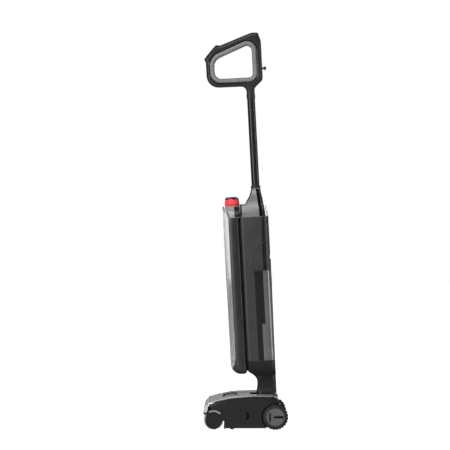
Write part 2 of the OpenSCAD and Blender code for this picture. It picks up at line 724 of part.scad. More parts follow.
module tank_lid() color("#8a8c90") upright() {
    difference() {
        intersection() {
            plate(LID_LINE, -BODY_X, BODY_X);
            block(both_sides(LID_FRONT), -96, -40);
            column(LID_PLAN, [500, 545]);
        }
        slab([-34, 38], [-77, -51], [500, 534]);
        slab([-13, 13], [-52, -40], [518, 532]);
    }
    // Plug in the mouth of the tank
    difference() {
        intersection() {
            tank_form(2.8, 520);
            slab([-60, 60], [-79.6, -40], [500, COLLAR_W + GAP + 0.1]);
        }
        slab([-34, 38], [-77, -55], [490, 520]);
    }
}

// Coloured cap over the filter, with a pocket for the release button
module filter_cap() color("#c21f2b") upright() difference() {
    intersection() {
        plate([[-47.4, 540], [-48.2, 552], [-52, 562], [-86.2, 562], [-88.4, 548], [-89, 540]],
              -BODY_X, BODY_X);
        block(both_sides([[34.8, 540], [34, 550], [30, 560], [29, 562]]), -96, -40);
        column(CAP_PLAN, [530, 570]);
    }
    column(grown(BUTTON_PLAN, 0.4), [555.5, 566]);
    slab([-22, 22], [-83, -55], [539, 552.5]);
}

// Pleats on a thin backing
module air_filter() color("#e4e2da") upright() {
    slab([-20, 18], [-82, -56], [539.6, 540.4]);
    for (i = [0:9]) slab([-20 + i * 4, -18 + i * 4], [-82, -56], [540.3, 552]);
}

module tank_button() color("#0f1011") upright() column(BUTTON_PLAN, [558.5, 565.4]);

CAGE = [24, -65.5];  // axis of the float cage, as [x, v]

module float_cage() color("#c9cccf", 0.8) upright() difference() {
    post(CAGE[0], CAGE[1], 11, [380, 534]);
    post(CAGE[0], CAGE[1], 9.5, [382, 532]);
    for (a = [0, 90]) translate([CAGE[0], CAGE[1], 455]) rotate([0, 0, a])
        cube([30, 8, 130], center = true);
}

module tank_float() color("#e2b23a") upright() post(CAGE[0], CAGE[1], 9, [383, 409]);

// ---- Clean water tank ----

CLEAN_LINE = [[-2, BASE_W + 0.4], [28.6, BASE_W + 0.4], [29.6, 215], [31.3, 330],
              [30.8, TANK_TOP_W - 0.4], [7, TANK_TOP_W - 0.4], [7, STEP_W + 0.4],
              [-2, STEP_W + 0.4]];
FILLER_W = 332;      // height of the filler plug

module clean_form(shrink) {
    intersection() {
        plate(rounded(grown(CLEAN_LINE, -shrink)), -BODY_X, BODY_X);
        in_plan(-shrink, [100, 370]);
    }
}

module clean_tank_body() color("#7d8084", 0.6) upright() difference() {
    clean_form(0);
    clean_form(2);
    translate([0, 40, FILLER_W]) rotate([90, 0, 0]) cylinder(r = 9, h = 14);
}

module clean_tank_plug() color("#1a1b1c") upright() difference() {
    translate([0, 30.9, FILLER_W]) rotate([90, 0, 0]) cylinder(r = 8.6, h = 5);
    slab([-5, 5], [29.6, 32], [FILLER_W - 1.2, FILLER_W + 1.2]);
}

// ---- Pole and handle ----

module pole() color("#2a2b2e") upright() {
    translate([0, 0, COLLAR_W + 12]) linear_extrude(HANDLE_W - COLLAR_W - 12) difference() {
        stadium(pole_d, pole_w);
        stadium(pole_d - 3.4, pole_w - 3.4);
    }
    // Plug that the handle sits on
    translate([0, 0, HANDLE_W - 22]) linear_extrude(22) stadium(pole_d - 3.3, pole_w - 3.3);
    translate([0, 0, HANDLE_W - 1]) linear_extrude(19) stadium(15.6, 22);
}

REAR_BUTTON_W = 921;

// The control panel's own frame: its middle, looking out along +Z
module on_panel() {
    mid = (PANEL[0] + PANEL[1]) / 2;
    translate([0, mid[0], mid[1]]) rotate([atan2(-PANEL_OUT[0], PANEL_OUT[1]), 0, 0]) children();
}

module handle_half(s) {
    inner = handle_w / 2 - wall;
    difference() {
        plate(rounded(HANDLE_LINE), s > 0 ? 0 : -handle_w / 2, s > 0 ? handle_w / 2 : 0);
        plate(rounded(grown(LOOP_LINE, GRIP_T)), -handle_w, handle_w);
        // Hollow that the wires run through
        difference() {
            plate(rounded(grown(HANDLE_LINE, -wall)), -inner, inner);
            plate(rounded(grown(LOOP_LINE, GRIP_T + wall)), -handle_w, handle_w);
        }
        translate([0, 0, HANDLE_W - 1]) linear_extrude(19) stadium(15.6, 22);
        on_panel() translate([-11, -20, -PANEL_T]) cube([22, 40, 10]);
        translate([0, 40, REAR_BUTTON_W]) rotate([90, 0, 0]) cylinder(r = 3.1, h = 12, $fn = 32);
    }
}

module handle_shell_right() color("#131415") upright() handle_half(1);
module handle_shell_left() color("#131415") upright() handle_half(-1);

module grip_ring() color("#6f7276") upright() difference() {
    plate(rounded(grown(LOOP_LINE, GRIP_T)), 1.2 - handle_w / 2, handle_w / 2 - 1.2);
    plate(rounded(LOOP_LINE), -handle_w, handle_w);
}

module control_panel() color("#1a1b1d") upright() on_panel() difference() {
    translate([-11, -20, -PANEL_T]) cube([22, 40, PANEL_T - 0.2]);
    for (y = [-10, 7]) translate([0, y, -4]) cylinder(r = y < 0 ? 5.9 : 4.9, h = 6, $fn = 32);
}

module power_button() color("#3c3e41") upright() on_panel()
    translate([0, -10, -1.9]) cylinder(r = 5.5, h = 2.6, $fn = 32);

module mode_button() color("#3c3e41") upright() on_panel()
    translate([0, 7, -1.9]) cylinder(r = 4.5, h = 2.6, $fn = 32);

module rear_button() color("#101112") upright() translate([0, 0, REAR_BUTTON_W])
    rotate([-90, 0, 0]) rotate_extrude($fn = 48)
        polygon(concat([[0, 30.2], [2.7, 30.2], [2.7, 39.5]], arc([1.6, 43.1], 3.6, -90, 90),
            [[0, 46.7]]));

head_chassis();
head_top_cover();
head_screws();
right_side_cover();
left_side_cover();
roller_visor();
visor_grip();
visor_latch();
front_bumper();
roller_end_cap();
roller_core();
roller_sleeve();
drive_hub();
drive_belt();
brush_motor();
motor_pinion();
squeegee_blade();
scraper_bar();
spray_bar();
right_tyre();
right_wheel_hub();
left_tyre();
left_wheel_hub();
head_pins();
right_caster();
left_caster();
neck_yoke();
swivel_ring();
lower_housing();
main_shell_right();
main_shell_left();
housing_screws();
shoulder_cover();
rear_fairing();
suction_motor();
impeller();
control_board();
water_pump();
battery_case();
battery_cells();
battery_latch();
dirty_tank_body();
dirty_tank_window();
dirty_tank_riser();
tank_lid();
filter_cap();
air_filter();
tank_button();
float_cage();
tank_float();
clean_tank_body();
clean_tank_plug();
pole();
handle_shell_right();
handle_shell_left();
grip_ring();
control_panel();
power_button();
mode_button();
rear_button();
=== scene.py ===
"""Looks of the upright wet dry floor scrubber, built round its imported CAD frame."""
import math

import bmesh
import bpy
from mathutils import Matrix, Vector, noise


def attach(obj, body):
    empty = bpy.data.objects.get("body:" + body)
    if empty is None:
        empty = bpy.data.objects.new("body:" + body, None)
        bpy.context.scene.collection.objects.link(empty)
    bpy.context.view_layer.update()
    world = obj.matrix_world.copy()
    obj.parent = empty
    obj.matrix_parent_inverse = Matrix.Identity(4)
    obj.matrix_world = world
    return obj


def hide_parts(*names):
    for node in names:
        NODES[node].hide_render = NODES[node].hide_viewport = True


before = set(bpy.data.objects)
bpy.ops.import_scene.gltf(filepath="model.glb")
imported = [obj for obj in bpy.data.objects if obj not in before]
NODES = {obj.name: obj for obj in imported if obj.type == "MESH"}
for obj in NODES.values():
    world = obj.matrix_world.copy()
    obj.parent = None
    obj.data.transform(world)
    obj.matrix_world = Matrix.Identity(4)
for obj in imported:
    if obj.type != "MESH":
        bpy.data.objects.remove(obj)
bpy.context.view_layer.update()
MM = 0.001
SIDES = ((1, "right"), (-1, "left"))

# The upright's own frame: v runs rearward and w runs up the pole, from the pitch axis
PIVOT = Vector((0, 59.4, 80))
LEAN = math.radians(3)
COS, SIN = math.cos(LEAN), math.sin(LEAN)


def up(x, v, w):
    """A point of the upright's frame, in metres of the row frame."""
    return Vector((x, PIVOT.y + v * COS - w * SIN, PIVOT.z + v * SIN + w * COS)) * MM


def at(x, y, z):
    """A point of the row frame, in metres."""
    return Vector((x, y, z)) * MM


def place_object(name, data):
    """An object that holds the data, linked to the scene."""
    o = bpy.data.objects.new(name, data)
    bpy.context.scene.collection.objects.link(o)
    return o


# ---- Materials ----

PLASTIC_IOR = 1.46
COAT_ROUGH = 0.06
MOTTLE_SCALE = 22
MOTTLE_LOW, MOTTLE_HIGH = 0.3, 0.7
GRAIN_DEPTH = 0.0003


def material(name, colour, rough, metal=0.0, coat=0.0, grain=0.0, grain_size=1800.0, vary=0.06,
             tint=0.12, clear=0.0, sheen=0.0, spec=0.5, streak=None, glow=0.0):
    """A principled surface with moulding grain, slow changes of gloss and faint mottling."""
    m = bpy.data.materials.new(name)
    m.use_nodes = True
    nt = m.node_tree
    p = nt.nodes["Principled BSDF"]
    p.inputs["Base Color"].default_value = (*colour, 1)
    p.inputs["Roughness"].default_value = rough
    p.inputs["Metallic"].default_value = metal
    p.inputs["IOR"].default_value = PLASTIC_IOR
    p.inputs["Specular IOR Level"].default_value = spec
    p.inputs["Coat Weight"].default_value = coat
    p.inputs["Coat Roughness"].default_value = COAT_ROUGH
    p.inputs["Transmission Weight"].default_value = clear
    p.inputs["Sheen Weight"].default_value = sheen
    if glow:
        p.inputs["Emission Color"].default_value = (*colour, 1)
        p.inputs["Emission Strength"].default_value = glow
    coords = nt.nodes.new("ShaderNodeTexCoord").outputs["Object"]
    slow = nt.nodes.new("ShaderNodeTexNoise")
    slow.inputs["Scale"].default_value = MOTTLE_SCALE
    slow.inputs["Detail"].default_value = 4
    nt.links.new(coords, slow.inputs["Vector"])
    spread = nt.nodes.new("ShaderNodeMapRange")
    spread.inputs["From Min"].default_value = MOTTLE_LOW
    spread.inputs["From Max"].default_value = MOTTLE_HIGH
    spread.inputs["To Min"].default_value = max(0.02, rough - vary)
    spread.inputs["To Max"].default_value = min(1.0, rough + vary)
    nt.links.new(slow.outputs["Fac"], spread.inputs["Value"])
    nt.links.new(spread.outputs["Result"], p.inputs["Roughness"])
    if tint:
        ramp = nt.nodes.new("ShaderNodeValToRGB")
        dark, light = ramp.color_ramp.elements
        dark.position = MOTTLE_LOW
        light.position = MOTTLE_HIGH
        dark.color = (*[c * (1 - tint) for c in colour], 1)
        light.color = (*[min(1, c * (1 + tint)) for c in colour], 1)
        nt.links.new(slow.outputs["Fac"], ramp.inputs["Fac"])
        nt.links.new(ramp.outputs["Color"], p.inputs["Base Color"])
    if grain:
        fine = nt.nodes.new("ShaderNodeTexNoise")
        fine.inputs["Scale"].default_value = grain_size
        fine.inputs["Detail"].default_value = 2
        source = coords
        if streak:
            squeeze = nt.nodes.new("ShaderNodeMapping")
            squeeze.inputs["Scale"].default_value = streak
            nt.links.new(source, squeeze.inputs["Vector"])
            source = squeeze.outputs["Vector"]
        nt.links.new(source, fine.inputs["Vector"])
        bump = nt.nodes.new("ShaderNodeBump")
        bump.inputs["Strength"].default_value = grain
        bump.inputs["Distance"].default_value = GRAIN_DEPTH
        nt.links.new(fine.outputs["Fac"], bump.inputs["Height"])
        nt.links.new(bump.outputs["Normal"], p.inputs["Normal"])
    return m


MATERIALS = {
    "dark": material("dark plastic", (0.0065, 0.0065, 0.007), 0.44, grain=0.25, spec=0.3),
    "charcoal": material("charcoal plastic", (0.0065, 0.0065, 0.007), 0.44, grain=0.25, spec=0.32),
    "tank": material("tank plastic", (0.0155, 0.0157, 0.0165), 0.34, grain=0.10, spec=0.36),
    "slate": material("slate plastic", (0.0265, 0.0267, 0.0285), 0.42, grain=0.22, spec=0.34),
    # Near black: the side strips, level marks and disc ring, and also the bands of painted shade
    # laid on the body's rounded corners
    "strip": material("dark trim and painted shade", (0.0045, 0.0045, 0.005), 0.42, grain=0.2, spec=0.28),
    # Light grey: the latch and buttons; on the tank lid it is painted light on faces that tilt up,
    # and on the roller end's lip a painted highlight
    "grey": material("grey plastic and painted light", (0.20, 0.203, 0.208), 0.36, grain=0.12),
    # Mid grey, about four times the body's slate: painted light on the shoulder's faces that tilt
    # up
    "shoulder": material("shoulder painted light", (0.108, 0.11, 0.113), 0.34, grain=0.12),
    # Near black and matt: painted shade inside the well, the finger notches and hub slots, and in
    # the shoulder's darkest band
    "shadow": material("painted recess shade", (0.0015, 0.0015, 0.0015), 0.9, spec=0.1, grain=0.1),
    "gloss": material("black gloss", (0.010, 0.010, 0.011), 0.2, coat=0.4, vary=0.04),
    "handle": material("handle plastic", (0.011, 0.011, 0.012), 0.42, grain=0.15, spec=0.3),
    "panel": material("panel glass", (0.006, 0.006, 0.007), 0.06, coat=1.0, vary=0.01),
    "clear": material("clear tank", (0.93, 0.935, 0.94), 0.05, clear=0.96, vary=0.02, tint=0.0),
    # Light grey under the gloss: painted reflection of the bright backdrop, which the head's top
    # and visor catch at a glancing angle
    "cover": material("head cover painted reflection", (0.42, 0.425, 0.43), 0.16, coat=0.5, vary=0.03, tint=0.04),
    "smoke": material("smoked tank", (0.105, 0.107, 0.11), 0.22, clear=0.2, coat=0.2, vary=0.03),
    # Near white, on the rear fairing: a painted highlight along a glossy rear edge
    "pale": material("pale painted highlight", (0.66, 0.665, 0.67), 0.2, vary=0.03, tint=0.03),
    "red": material("red gloss", (0.80, 0.030, 0.036), 0.18, coat=0.5, vary=0.03, tint=0.06),
    "rubber": material("black rubber", (0.007, 0.007, 0.007), 0.62, grain=0.4, grain_size=900,
                       spec=0.28),
    "grip": material("soft grip", (0.125, 0.127, 0.13), 0.50, grain=0.4, grain_size=1500),
    "nap": material("roller nap", (0.22, 0.222, 0.228), 0.95, grain=0.8, grain_size=1400,
                    sheen=0.3, tint=0.2),
    "steel": material("steel", (0.56, 0.56, 0.57), 0.28, metal=1.0, grain=0.15,
                      streak=(1, 1, 30)),
    "can": material("motor can", (0.42, 0.43, 0.45), 0.35, metal=1.0, grain=0.1),
    "brass": material("brass", (0.58, 0.42, 0.18), 0.3, metal=1.0, grain=0.05),
    "board": material("board", (0.02, 0.13, 0.045), 0.35, grain=0.2, grain_size=300),
    "cells": material("cell wrap", (0.03, 0.12, 0.38), 0.25, vary=0.04),
    "fleece": material("filter fleece", (0.72, 0.71, 0.66), 0.9, grain=0.6, grain_size=900),
    "yellow": material("float", (0.62, 0.34, 0.03), 0.4, grain=0.1),
    "white": material("white plastic", (0.62, 0.63, 0.63), 0.4, grain=0.1),
    "pole": material("pole paint", (0.006, 0.0061, 0.0066), 0.34, grain=0.12, spec=0.3),
    "hub": material("hub plastic", (0.078, 0.079, 0.082), 0.40, grain=0.15),
    # Lighter than the hub: a painted highlight round the hub's rounded rim
    "rim": material("hub rim painted highlight", (0.15, 0.152, 0.156), 0.28, grain=0.08),
    "lamp": material("lamp", (0.75, 0.85, 0.95), 0.3, glow=1.6, tint=0.0),
}

# ---- Outlines and lofts. A corner is (a, b, radius) and outlines run counter-clockwise. ----

def box(a0, b0, a1, b1, radius):
    """The corners of a rectangle, all with the same radius."""
    return [(a0, b0, radius), (a1, b0, radius), (a1, b1, radius), (a0, b1, radius)]


def rounded(outline, steps=8):
    """The outline's points, with each corner that has a radius turned into an arc."""
    points = []
    for i, corner in enumerate(outline):
        here = Vector(corner[:2])
        radius = corner[2] if len(corner) > 2 else 0
        if not radius:
            points.append(here)
            continue
        u = (Vector(outline[i - 1][:2]) - here).normalized()
        v = (Vector(outline[(i + 1) % len(outline)][:2]) - here).normalized()
        half = math.acos(max(-1, min(1, u.dot(v)))) / 2
        centre = here + (u + v).normalized() * radius / math.sin(half)
        reach = radius / math.tan(half)
        start = here + u * reach - centre
        end = here + v * reach - centre
        first = math.atan2(start.y, start.x)
        sweep = math.atan2(end.y, end.x) - first
        sweep = (sweep + math.pi) % (2 * math.pi) - math.pi
        for k in range(steps + 1):
            a = first + sweep * k / steps
            points.append(centre + radius * Vector((math.cos(a), math.sin(a))))
    return points


def grown(outline, d):
    """The same corners moved outward by d, or inward where d is negative."""
    out = []
    for i, corner in enumerate(outline):
        here = Vector(corner[:2])
        a = (here - Vector(outline[i - 1][:2])).normalized()
        b = (Vector(outline[(i + 1) % len(outline)][:2]) - here).normalized()
        na, nb = Vector((a.y, -a.x)), Vector((b.y, -b.x))
        radius = corner[2] if len(corner) > 2 else 0
        convex = a.x * b.y - a.y * b.x > 0
        q = here + (na + nb) * d / (1 + na.dot(nb))
        out.append((q.x, q.y, max(0.4, radius + d if convex else radius - d) if radius else 0))
    return out


def weighted_normals(o):
    normals = o.modifiers.new("normals", "WEIGHTED_NORMAL")
    normals.keep_sharp = True


def piece(name, bm, look, body, replaces=(), smooth=True):
    """Makes a finished piece of a bmesh in metres, with its material and body."""
    bmesh.ops.remove_doubles(bm, verts=bm.verts, dist=2e-6)
    bmesh.ops.recalc_face_normals(bm, faces=bm.faces)
    mesh = bpy.data.meshes.new(name)
    bm.to_mesh(mesh)
    bm.free()
    for f in mesh.polygons:
        f.use_smooth = smooth
    o = place_object(name, mesh)
    mesh.materials.append(MATERIALS[look])
    if smooth:
        weighted_normals(o)
    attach(o, body)
    if replaces:
        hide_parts(*replaces)
    return o


def skin(bm, rings, closed=False, cap_start=False, cap_end=False):
    """Quads between rings of equal length; each ring is a closed loop of points in metres."""
    loops = [[bm.verts.new(p) for p in ring] for ring in rings]
    count = len(loops[0])
    following = loops[1:] + ([loops[0]] if closed else [])
    for a, b in zip(loops, following):
        for i in range(count):
            j = (i + 1) % count
            bm.faces.new((a[i], a[j], b[j], b[i]))
    if cap_start:
        bm.faces.new(loops[0][::-1])
    if cap_end:
        bm.faces.new(loops[-1])
    return loops


def open_skin(bm, rows):
    """Quads between open rows of equal length."""
    grid = [[bm.verts.new(p) for p in row] for row in rows]
    for a, b in zip(grid, grid[1:]):
        for j in range(len(a) - 1):
            bm.faces.new((a[j], a[j + 1], b[j + 1], b[j]))
    return grid


def fill(bm, *loops):
    """A flat face between an outer loop of verts and the holes in it."""
    edges = []
    for loop in loops:
        for i, v in enumerate(loop):
            other = loop[(i + 1) % len(loop)]
            edges.append(bm.edges.get((v, other)) or bm.edges.new((v, other)))
    bmesh.ops.triangle_fill(bm, use_beauty=True, use_dissolve=False, edges=edges)


def cut(bm, point, normal):
    """Cuts the mesh by a plane and drops the side that the normal points to."""
    geom = bm.verts[:] + bm.edges[:] + bm.faces[:]
    bmesh.ops.bisect_plane(bm, geom=geom, plane_co=point, plane_no=normal, clear_outer=True)


def solidify(o, depth):
    """Gives a surface its thickness, laid inward."""
    thick = o.modifiers.new("thick", "SOLIDIFY")
    thick.thickness = depth * MM
    thick.offset = -1


def thicken(o, depth):
    """Gives a surface its thickness before its normals are weighted."""
    solidify(o, depth)
    o.modifiers.move(len(o.modifiers) - 1, 0)


def quarter(depth, reach, steps):
    """(inset, out) pairs of a rounded edge, from the wall to the face."""
    for k in range(steps + 1):
        a = math.pi / 2 * k / steps
        yield depth * (1 - math.cos(a)), reach * math.sin(a)


def ring_of(outline, x, place=up):
    """An outline's points in the plane that stands at x."""
    return [place(x, p.x, p.y) for p in outline]


def revolve(bm, profile, centre, steps=96, flip=1, wave=None):
    """Turns (radius, x) pairs about the X axis through centre (y, z), all in mm."""
    rings = []
    for r, x in profile:
        ring = []
        for k in range(steps):
            a = 2 * math.pi * k / steps
            reach = wave(r, a) if wave else r
            y = centre[0] + reach * math.cos(a)
            z = centre[1] + reach * math.sin(a)
            ring.append(at(x * flip, y, z))
        rings.append(ring)
    skin(bm, rings)

# ---- Materials and moulded edges of the CAD nodes ----

LOOKS = {
    "dark": "head_chassis roller_core drive_hub scraper_bar spray_bar neck_yoke lower_housing "
            "water_pump dirty_tank_riser",
    "gloss": "handle_shell_right handle_shell_left tank_button",
    "steel": "head_screws head_pins swivel_ring housing_screws",
    "charcoal": "right_side_cover left_side_cover roller_end_cap",
    "tank": "dirty_tank_body",
    "slate": "main_shell_right main_shell_left battery_case",
    # Painted reflection: the light grey of the visor and the head's top cover
    "cover": "roller_visor head_top_cover",
    # The tank lid's grey is painted light on its upward-tilted faces
    "grey": "visor_latch tank_lid power_button mode_button",
    # Painted light: the shoulder cover's grey on its upward-tilted faces
    "shoulder": "shoulder_cover",
    "rubber": "visor_grip front_bumper drive_belt squeegee_blade right_tyre left_tyre right_caster "
              "left_caster battery_latch clean_tank_plug rear_button",
    "nap": "roller_sleeve",
    "can": "brush_motor suction_motor impeller",
    "brass": "motor_pinion",
    "hub": "right_wheel_hub left_wheel_hub",
    # Painted highlight: the rear fairing's pale colour
    "pale": "rear_fairing",
    "board": "control_board",
    "cells": "battery_cells",
    "clear": "dirty_tank_window",
    "red": "filter_cap",
    "fleece": "air_filter",
    "white": "float_cage",
    "yellow": "tank_float",
    "smoke": "clean_tank_body",
    "pole": "pole",
    "grip": "grip_ring",
    "panel": "control_panel",
}
EDGE = {"right_side_cover": 1.3, "left_side_cover": 1.3, "shoulder_cover": 1.4,
        "right_wheel_hub": 0.8, "left_wheel_hub": 0.8, "roller_end_cap": 1.0,
        "head_top_cover": 1.2, "roller_visor": 1.0, "filter_cap": 1.5, "tank_button": 1.0,
        "tank_lid": 1.0, "lower_housing": 2.0, "battery_case": 0.8, "control_panel": 0.4,
        "clean_tank_body": 1.2, "main_shell_right": 1.0, "main_shell_left": 1.0}
USUAL_EDGE = 0.6
SHARPEST_SMOOTHED = 38


def dress(node, look, edge):
    """Gives a CAD node its material and the small radius that its moulded edges have."""
    o = NODES[node]
    o.data.materials.clear()
    o.data.materials.append(MATERIALS[look])
    weld = o.modifiers.new("weld", "WELD")
    weld.merge_threshold = 0.00001
    flat = o.modifiers.new("flat", "DECIMATE")
    flat.decimate_type = "DISSOLVE"
    flat.angle_limit = math.radians(0.5)
    bevel = o.modifiers.new("bevel", "BEVEL")
    bevel.width = edge * MM
    bevel.segments = 3
    bevel.limit_method = "ANGLE"
    bevel.angle_limit = math.radians(SHARPEST_SMOOTHED)
    bevel.use_clamp_overlap = True
    bevel.miter_outer = "MITER_ARC"
    for f in o.data.polygons:
        f.use_smooth = True
    weighted_normals(o)


for look, names in LOOKS.items():
    for node in names.split():
        dress(node, look, EDGE.get(node, USUAL_EDGE))

# ---- Handle ----

HANDLE = [(11, 820), (11.5, 867, 14), (36, 889, 16), (36, 998, 24), (28.5, 1021.6, 5),
          (10, 1022.5, 20), (-79, 990.7, 7), (-90, 992.6, 3), (-125.2, 954.5, 1.5),
          (-121, 945, 3), (-121, 873.5, 34), (-11.5, 872.8, 15), (-11, 820)]
LOOP = [(8.8, 897.6, 12), (8.6, 992, 13), (-97.4, 949.9, 27), (-97.4, 897.6, 19)]
HANDLE_FOOT = 851
GRIP_WIDTH = 15
GRIP_HALF = 14.2
GRIP_SECTION = 36
HANDLE_HALF = 14.8
HANDLE_WALL = 2.0
HANDLE_ROUND = 9.0


def handle_shell(side, tag):
    """One moulded half: a rounded outer edge, a face, and a step down to the grip."""
    bm = bmesh.new()
    profile = [(0.5, 0.05), (0.06, 0.5), (0, HANDLE_WALL)]
    edge = list(quarter(HANDLE_ROUND, HANDLE_HALF - HANDLE_WALL, 9))
    profile += [(d, HANDLE_WALL + x) for d, x in edge[1:]]
    outer = skin(bm, [ring_of(rounded(grown(HANDLE, -d)), side * x) for d, x in profile])
    seat = [(GRIP_WIDTH + 1.3, HANDLE_HALF), (GRIP_WIDTH + 0.7, HANDLE_HALF - 0.25),
            (GRIP_WIDTH + 0.4, HANDLE_HALF - 0.9), (GRIP_WIDTH + 0.3, 4)]
    inner = skin(bm, [ring_of(rounded(grown(LOOP, g)), side * x) for g, x in seat])
    fill(bm, outer[-1], inner[0])
    cut(bm, up(0, 0, HANDLE_FOOT), up(0, 0, 0) - up(0, 0, 1))
    piece(f"handle_half_{tag}", bm, "handle", "upright", replaces=(f"handle_shell_{tag}",))


def squared(value, power):
    """A sine or cosine pushed outward, so that a round section turns into a squarer one."""
    return math.copysign(abs(value) ** power, value)


for side, tag in SIDES:
    handle_shell(side, tag)

bm = bmesh.new()
rings = []
for k in range(GRIP_SECTION):
    a = 2 * math.pi * k / GRIP_SECTION
    reach = GRIP_WIDTH / 2 * (1 + squared(math.cos(a), 0.75))
    rings.append(ring_of(rounded(grown(LOOP, reach)), squared(math.sin(a), 0.8) * GRIP_HALF))
skin(bm, rings, closed=True)
piece("soft_grip", bm, "grip", "upright", replaces=("grip_ring",))

# The panel's housing on the nose of the handle, in the panel's own frame
PANEL_LOW, PANEL_HIGH = Vector((-121.6, 958.4)), Vector((-92.6, 989.8))
PANEL_MID = (PANEL_LOW + PANEL_HIGH) / 2
ALONG = (PANEL_HIGH - PANEL_LOW).normalized()
OUT = Vector((-ALONG.y, ALONG.x))


def on_panel(x, u, n):
    """A point u along the panel from its middle, and n out of its face."""
    p = PANEL_MID + ALONG * u + OUT * n
    return up(x, p.x, p.y)


def centred_box(half_x, half_u, radius):
    return box(-half_x, -half_u, half_x, half_u, radius)


def panel_ring(outline, n):
    return [on_panel(p.x, p.y, n) for p in rounded(outline)]


BEZEL = [(0, -9), (0, -0.6), (-0.3, 0.1), (-1.0, 0.4), (-1.9, 0.4)]
bm = bmesh.new()
rings = [panel_ring(grown(centred_box(13.2, 22.3, 5), d), n) for d, n in BEZEL]
rings += [panel_ring(centred_box(11.2, 20.2, 3), n) for n in (0.2, -3.0)]
skin(bm, rings)
piece("panel_bezel", bm, "gloss", "upright")

# Three light bars past the larger key, and a ring of light round each key
BAR = centred_box(1.1, 0.45, 0.4)
BAR_PITCH, BAR_PLACE = 3.6, 15.2
LIGHT_FOOT, LIGHT_FACE = -0.3, -0.1
LIGHT_RING = 64
bm = bmesh.new()
for step in (-1, 0, 1):
    rings = []
    for n in (-0.25, -0.08):
        rings.append([on_panel(p.x + step * BAR_PITCH, p.y + BAR_PLACE, n)
                      for p in rounded(BAR, 3)])
    skin(bm, rings, cap_end=True)
for u, inner, outer in ((-10, 6.1, 6.6), (7, 5.1, 5.45)):
    rings = []
    for r, n in ((inner, LIGHT_FOOT), (inner, LIGHT_FACE), (outer, LIGHT_FACE),
                 (outer, LIGHT_FOOT)):
        ring = []
        for k in range(LIGHT_RING):
            a = 2 * math.pi * k / LIGHT_RING
            ring.append(on_panel(r * math.cos(a), u + r * math.sin(a), n))
        rings.append(ring)
    skin(bm, rings)
piece("panel_lights", bm, "lamp", "upright")

# ---- Pole collars ----

POLE_DEPTH, POLE_WIDTH = 22, 28
HALF_TURN = 16


def pole_outline(growth):
    """The pole's round-ended outline with that much added all round, as (x, v) points."""
    r = POLE_DEPTH / 2 + growth
    flat = (POLE_WIDTH - POLE_DEPTH) / 2
    right = []
    for k in range(HALF_TURN + 1):
        a = math.pi * (k / HALF_TURN - 0.5)
        right.append((flat + r * math.cos(a), r * math.sin(a)))
    return right + [(-x, -v) for x, v in right]


def collar(name, look, profile):
    """A sleeve round the pole, from (growth, w) pairs."""
    bm = bmesh.new()
    skin(bm, [[up(x, v, w) for x, v in pole_outline(growth)] for growth, w in profile])
    piece(name, bm, look, "upright")


collar("pole_top_collar", "handle", [(0.1, 838), (0.9, 838.3), (1.1, 839), (1.1, 850),
                                     (0.9, 850.8), (0.1, 851)])
collar("pole_foot_collar", "dark", [(0.1, 586.5), (2.2, 586.6), (2.5, 587.4), (2.5, 592),
                                    (1.6, 593.6), (0.1, 594.5)])

# ---- Wheels ----

WHEEL = (81, 36)
LUGS = 24
POINTS_PER_LUG = 12
TREAD_FOOT = 33.8
GROOVE_DEPTH = 2.4
BLOCK_SHARE, GROOVE_START = 0.5, 0.66
TYRE = [(26.9, 104), (31.4, 103.6), (33.6, 104.0), (35.0, 104.9), (35.8, 106.2), (36, 108),
        (36, 113.2), (34.6, 113.9), (34.6, 115.1), (36, 115.8), (36, 121), (35.8, 122.8),
        (35.0, 124.3), (33.6, 125.2), (32.6, 126.1), (31.8, 125.7), (30.6, 126.3),
        (28.6, 126.9), (27.4, 127.0), (26.9, 126.4)]
HUB_RIM = [(23.4, 127.6), (23.6, 127.95), (24.4, 128.0), (26.2, 128.0), (26.9, 127.7),
           (27.1, 127.0), (27.0, 126.0)]


def lug(r, a):
    """Radius of the tyre at angle a: blocks with a groove between each two."""
    if r < TREAD_FOOT:
        return r
    from_middle = abs(a * LUGS / (2 * math.pi) % 1 - 0.5) * 2
    slope = (from_middle - BLOCK_SHARE) / (GROOVE_START - BLOCK_SHARE)
    return r - GROOVE_DEPTH * min(1, max(0, slope))


for side, tag in SIDES:
    bm = bmesh.new()
    revolve(bm, TYRE, WHEEL, steps=LUGS * POINTS_PER_LUG, flip=side, wave=lug)
    piece(f"{tag}_tread", bm, "rubber", f"wheel_{tag}", replaces=(f"{tag}_tyre",))
    # The hub's rim ring, lighter grey than the hub as a painted highlight round its edge
    bm = bmesh.new()
    revolve(bm, HUB_RIM, WHEEL, flip=side)
    piece(f"{tag}_hub_rim_highlight", bm, "rim", f"wheel_{tag}")

# ---- Roller nap: a pile of tufts laid in a slow spiral ----

ROLLER = (-89, 26.5)
PILE, PILE_FOOT = 26.45, 20.1
NAP_HALF = 103.8
NAP_END_ROUND = 0.9
TUFT_DEPTH = 0.45
TUFT_SCALE = Vector((0.9, 24, 24))
SEAM_DEPTH, SEAM_STARTS, SEAM_TWIST, SEAM_SHARPNESS = 0.7, 3, 0.09, 24
AROUND, ACROSS = 168, 140


def nap_radius(x, a):
    """Radius of the pile: rounded ends, tufts, and a spiral seam where the nap parts."""
    edge = min(1.0, (NAP_HALF - abs(x)) / 2.0)
    spiral = 0.5 + 0.5 * math.cos(a * SEAM_STARTS - x * SEAM_TWIST)
    tuft = noise.noise(Vector((x, math.cos(a), math.sin(a))) * TUFT_SCALE)
    return (PILE - NAP_END_ROUND * (1 - edge) ** 2 - TUFT_DEPTH * abs(tuft)
            - SEAM_DEPTH * spiral ** SEAM_SHARPNESS)


